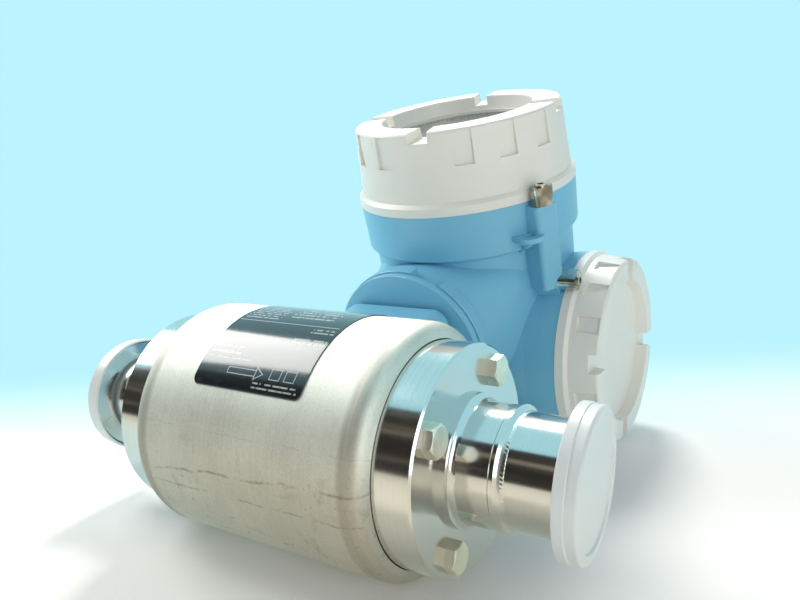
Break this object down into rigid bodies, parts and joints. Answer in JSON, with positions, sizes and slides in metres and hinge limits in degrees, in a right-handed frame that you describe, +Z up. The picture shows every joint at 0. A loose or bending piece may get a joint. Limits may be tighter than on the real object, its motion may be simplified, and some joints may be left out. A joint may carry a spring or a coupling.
{
  "type": "electromagnetic flow meter",
  "caption": "Hygienic flow meter: stainless drum sensor with clamp pipe ends under push-on caps, and a blue two-compartment transmitter with white screw covers on a swivel neck.",
  "frame": {"origin": "on the floor at the middle of the outline, with the meter lying on its drum and its terminal barrel", "axes": "+X along the pipe towards the outlet, +Z up, +Y towards the transmitter"},
  "size_m": [0.2926, 0.319, 0.2363],
  "materials": {
    "blasted_steel": "satin, brushed round the drum",
    "polished_steel": "turned and polished",
    "bolt_steel": "plain stainless",
    "inner_steel": "plain",
    "iron": "plain",
    "winding": "enamelled wire",
    "liner": "smooth white liner",
    "electrode": "polished",
    "black_rubber": "matt",
    "plate": "black, glossy",
    "blue_paint": "satin sky blue",
    "white_paint": "satin white",
    "cap_plastic": "milky, slightly see-through",
    "clear_glass": "clear",
    "dark_plastic": "matt",
    "screen": "glossy liquid-crystal panel",
    "board": "circuit board",
    "terminal_plastic": "moulded",
    "terminal_metal": "plated",
    "gland_plastic": "moulded"
  },
  "bodies": {
    "sensor": {"drum_shell": "blasted_steel", "measuring_tube": "inner_steel", "tube_liner": "liner", "inlet_end_ring": "inner_steel", "outlet_end_ring": "inner_steel", "inlet_face_seal": "black_rubber", "outlet_face_seal": "black_rubber", "inlet_connection": "polished_steel", "outlet_connection": "polished_steel", "inlet_ferrule": "polished_steel", "outlet_ferrule": "polished_steel", "inlet_bolts": "bolt_steel", "outlet_bolts": "bolt_steel", "upper_coil": "winding", "lower_coil": "winding", "pole_cores": "iron", "return_yoke": "iron", "electrodes": "electrode", "nameplate": "plate", "sensor_neck": "blue_paint", "earth_screw": "bolt_steel"},
    "transmitter": {"swivel_ring": "blue_paint", "transmitter_housing": "blue_paint", "display_clamp": "polished_steel", "terminal_clamp": "polished_steel", "clamp_screws": "bolt_steel", "display_module": "dark_plastic", "display_screen": "screen", "electronics_module": "dark_plastic", "terminal_board": "board", "terminal_block": "terminal_plastic", "terminal_screws": "terminal_metal", "entry_plugs": "gland_plastic", "cable_gland": "gland_plastic"},
    "display_seal": {"display_cover_seal": "black_rubber"},
    "display_lid": {"display_cover": "white_paint", "window_glass": "clear_glass", "window_retainer": "bolt_steel"},
    "terminal_seal": {"terminal_cover_seal": "black_rubber"},
    "terminal_lid": {"terminal_cover": "white_paint"},
    "inlet_plug": {"inlet_cap": "cap_plastic"},
    "outlet_plug": {"outlet_cap": "cap_plastic"}
  },
  "joints": [
    {"name": "transmitter_swivel", "type": "hinge", "parent": "sensor", "child": "transmitter", "pos_m": [0, -0.00777, 0.08176], "axis": [0, 0.973, 0.2308], "range_deg": [-180, 180]},
    {"name": "display_lid_advance", "type": "slide", "parent": "transmitter", "child": "display_seal", "axis": [0, -0.2308, 0.973], "range_m": [0, 0.0071]},
    {"name": "display_lid_turn", "type": "hinge", "parent": "display_seal", "child": "display_lid", "pos_m": [0, 0.0688, 0.17361], "axis": [0, -0.2308, 0.973], "range_deg": [0, 1260]},
    {"name": "terminal_lid_advance", "type": "slide", "parent": "transmitter", "child": "terminal_seal", "axis": [1, 0, 0], "range_m": [0, 0.0071]},
    {"name": "terminal_lid_turn", "type": "hinge", "parent": "terminal_seal", "child": "terminal_lid", "pos_m": [0.0744, 0.09592, 0.0636], "axis": [1, 0, 0], "range_deg": [0, 1260]},
    {"name": "inlet_cap_pull", "type": "slide", "parent": "sensor", "child": "inlet_plug", "axis": [-1, 0, 0], "range_m": [0, 0.06]},
    {"name": "outlet_cap_pull", "type": "slide", "parent": "sensor", "child": "outlet_plug", "axis": [0.9965, 0.0754, -0.0362], "range_m": [0, 0.06]}
  ],
  "couplings": [
    {"joint": "display_lid_advance", "follows": "display_lid_turn", "m_per_rad": 0.00031831},
    {"joint": "terminal_lid_advance", "follows": "terminal_lid_turn", "m_per_rad": 0.00031831}
  ]
}
